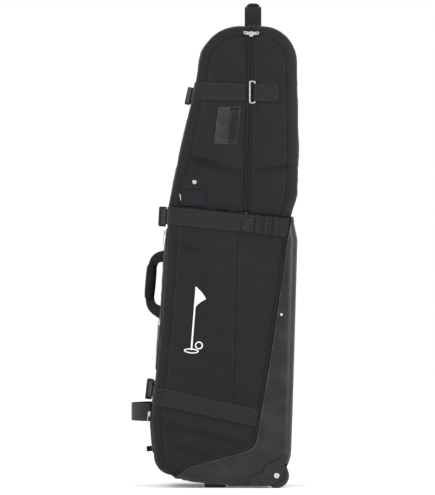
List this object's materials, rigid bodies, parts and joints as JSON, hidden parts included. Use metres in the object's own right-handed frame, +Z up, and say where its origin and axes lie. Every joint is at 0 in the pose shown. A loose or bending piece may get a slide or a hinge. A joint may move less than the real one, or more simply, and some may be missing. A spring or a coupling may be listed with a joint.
{
  "type": "golf travel case",
  "caption": "Wheeled soft golf travel case with a moulded back shell, a zipped padded hood, buckled straps, webbing handles and a skid foot.",
  "frame": {"origin": "middle of the skid foot's underside, on the ground", "axes": "+Z up along the standing case, +X to its back (shell and wheels), -Y to its left side"},
  "size_m": [0.4654, 0.3322, 1.3565],
  "materials": {
    "body_cloth": "woven, slight sheen",
    "foam_lining": "knitted lining on foam",
    "webbing": "ribbed polyester webbing",
    "shell_plastic": "fine moulded grain",
    "housing_plastic": "moulded",
    "skid_plastic": "scuffed",
    "buckle_plastic": "satin acetal",
    "tyre_polymer": "polyurethane",
    "hub_plastic": "moulded nylon",
    "steel": "zinc plated",
    "nickel": "nickel plated",
    "zip_coil": "nylon coil",
    "board": "honeycomb board",
    "window": "clear vinyl",
    "thread": "satin stitch",
    "label": "woven label",
    "grip_foam": "neoprene wrap"
  },
  "bodies": {
    "bag": {"axle_bolts": "steel", "axle_nuts": "steel", "axle_spacers": "steel", "back_shell": "shell_plastic", "base_board": "board", "bottom_tab": "webbing", "chassis_screws": "steel", "flag_motif": "thread", "front_pocket_lower": "body_cloth", "front_pocket_upper": "body_cloth", "hood_back_liner": "foam_lining", "hood_back_panel": "body_cloth", "hood_zip_back": "zip_coil", "inner_strap": "webbing", "lower_buckle_socket": "buckle_plastic", "lower_foam_liner": "foam_lining", "lower_gusset": "body_cloth", "lower_panel_left": "body_cloth", "lower_panel_right": "body_cloth", "lower_strap": "webbing", "mid_buckle_socket": "buckle_plastic", "mid_strap": "webbing", "pocket_zip_chain": "zip_coil", "shell_binding": "webbing", "shell_rivets": "steel", "skid_foot": "housing_plastic", "skid_plate": "skid_plastic", "strap_rings": "nickel", "upper_strap_back": "webbing", "wheel_housing_left": "housing_plastic", "wheel_housing_right": "housing_plastic"},
    "wheel_left": {"tyre_left": "tyre_polymer", "hub_left": "hub_plastic", "bearings_left": "steel"},
    "wheel_right": {"tyre_right": "tyre_polymer", "hub_right": "hub_plastic", "bearings_right": "steel"},
    "hood_front": {"hood_front_panel": "body_cloth", "hood_front_liner": "foam_lining", "hood_zip_front": "zip_coil", "upper_strap_front": "webbing", "upper_buckle_socket": "buckle_plastic", "label_patch": "label", "id_pocket": "body_cloth", "id_window": "window"},
    "card_flap": {"id_flap": "body_cloth", "id_snap_cap": "nickel"},
    "upper_plug": {"upper_buckle_plug": "buckle_plastic"},
    "mid_plug": {"mid_buckle_plug": "buckle_plastic"},
    "lower_plug": {"lower_buckle_plug": "buckle_plastic"},
    "top_handle": {"top_handle_grip": "grip_foam", "top_handle_webbing": "webbing"},
    "carry_handle": {"carry_handle_webbing": "webbing", "carry_handle_grip": "grip_foam"},
    "grab_handle": {"grab_loop": "webbing"},
    "hood_zip_slider_left": {"hood_slider_left": "nickel"},
    "hood_zip_slider_right": {"hood_slider_right": "nickel"},
    "pocket_zip_slider_upper": {"pocket_slider_upper": "nickel"},
    "pocket_zip_slider_middle": {"pocket_slider_middle": "nickel"},
    "pocket_zip_slider_lower": {"pocket_slider_lower": "nickel"}
  },
  "joints": [
    {"name": "wheel_left_spin", "type": "hinge", "parent": "bag", "child": "wheel_left", "pos_m": [0.172, -0.143, 0.035], "axis": [0, 1, 0], "continuous": true},
    {"name": "wheel_right_spin", "type": "hinge", "parent": "bag", "child": "wheel_right", "pos_m": [0.172, 0.143, 0.035], "axis": [0, 1, 0], "continuous": true},
    {"name": "hood_opening", "type": "hinge", "parent": "bag", "child": "hood_front", "pos_m": [-0.1305, 0, 0.787], "axis": [0, -1, 0], "range_deg": [0, 95]},
    {"name": "card_flap_fold", "type": "hinge", "parent": "hood_front", "child": "card_flap", "pos_m": [-0.06, -0.1483, 0.833], "axis": [1, 0, 0], "range_deg": [0, 150]},
    {"name": "upper_buckle_release", "type": "slide", "parent": "hood_front", "child": "upper_plug", "axis": [0, 1, 0], "range_m": [0, 0.028]},
    {"name": "mid_buckle_release", "type": "slide", "parent": "bag", "child": "mid_plug", "axis": [0, 1, 0], "range_m": [0, 0.028]},
    {"name": "lower_buckle_release", "type": "slide", "parent": "bag", "child": "lower_plug", "axis": [0, 1, 0], "range_m": [0, 0.028]},
    {"name": "top_handle_drop", "type": "slide", "parent": "bag", "child": "top_handle", "axis": [0, 0, -1], "range_m": [0, 0.03], "deforming": ["top_handle_webbing"]},
    {"name": "carry_handle_swing", "type": "hinge", "parent": "bag", "child": "carry_handle", "pos_m": [-0.143, 0, 0.565], "axis": [-0.087, 0, -0.9962], "range_deg": [-38, 38]},
    {"name": "grab_loop_flex", "type": "hinge", "parent": "bag", "child": "grab_handle", "pos_m": [-0.178, 0, 0.21], "axis": [0, 1, 0], "range_deg": [-25, 25]},
    {"name": "hood_zip_left_travel", "type": "slide", "parent": "bag", "child": "hood_zip_slider_left", "axis": [-0.0267, 0, -0.9996], "range_m": [0, 0.085]},
    {"name": "hood_zip_right_travel", "type": "slide", "parent": "bag", "child": "hood_zip_slider_right", "axis": [-0.0267, 0, -0.9996], "range_m": [0, 0.085]},
    {"name": "pocket_zip_upper_travel", "type": "slide", "parent": "bag", "child": "pocket_zip_slider_upper", "axis": [-0.0499, 0, -0.9988], "range_m": [0, 0.055]},
    {"name": "pocket_zip_middle_travel", "type": "slide", "parent": "bag", "child": "pocket_zip_slider_middle", "axis": [0.0713, 0, 0.9975], "range_m": [0, 0.12]},
    {"name": "pocket_zip_lower_travel", "type": "slide", "parent": "bag", "child": "pocket_zip_slider_lower", "axis": [0, 0, -1], "range_m": [0, 0.04]}
  ]
}
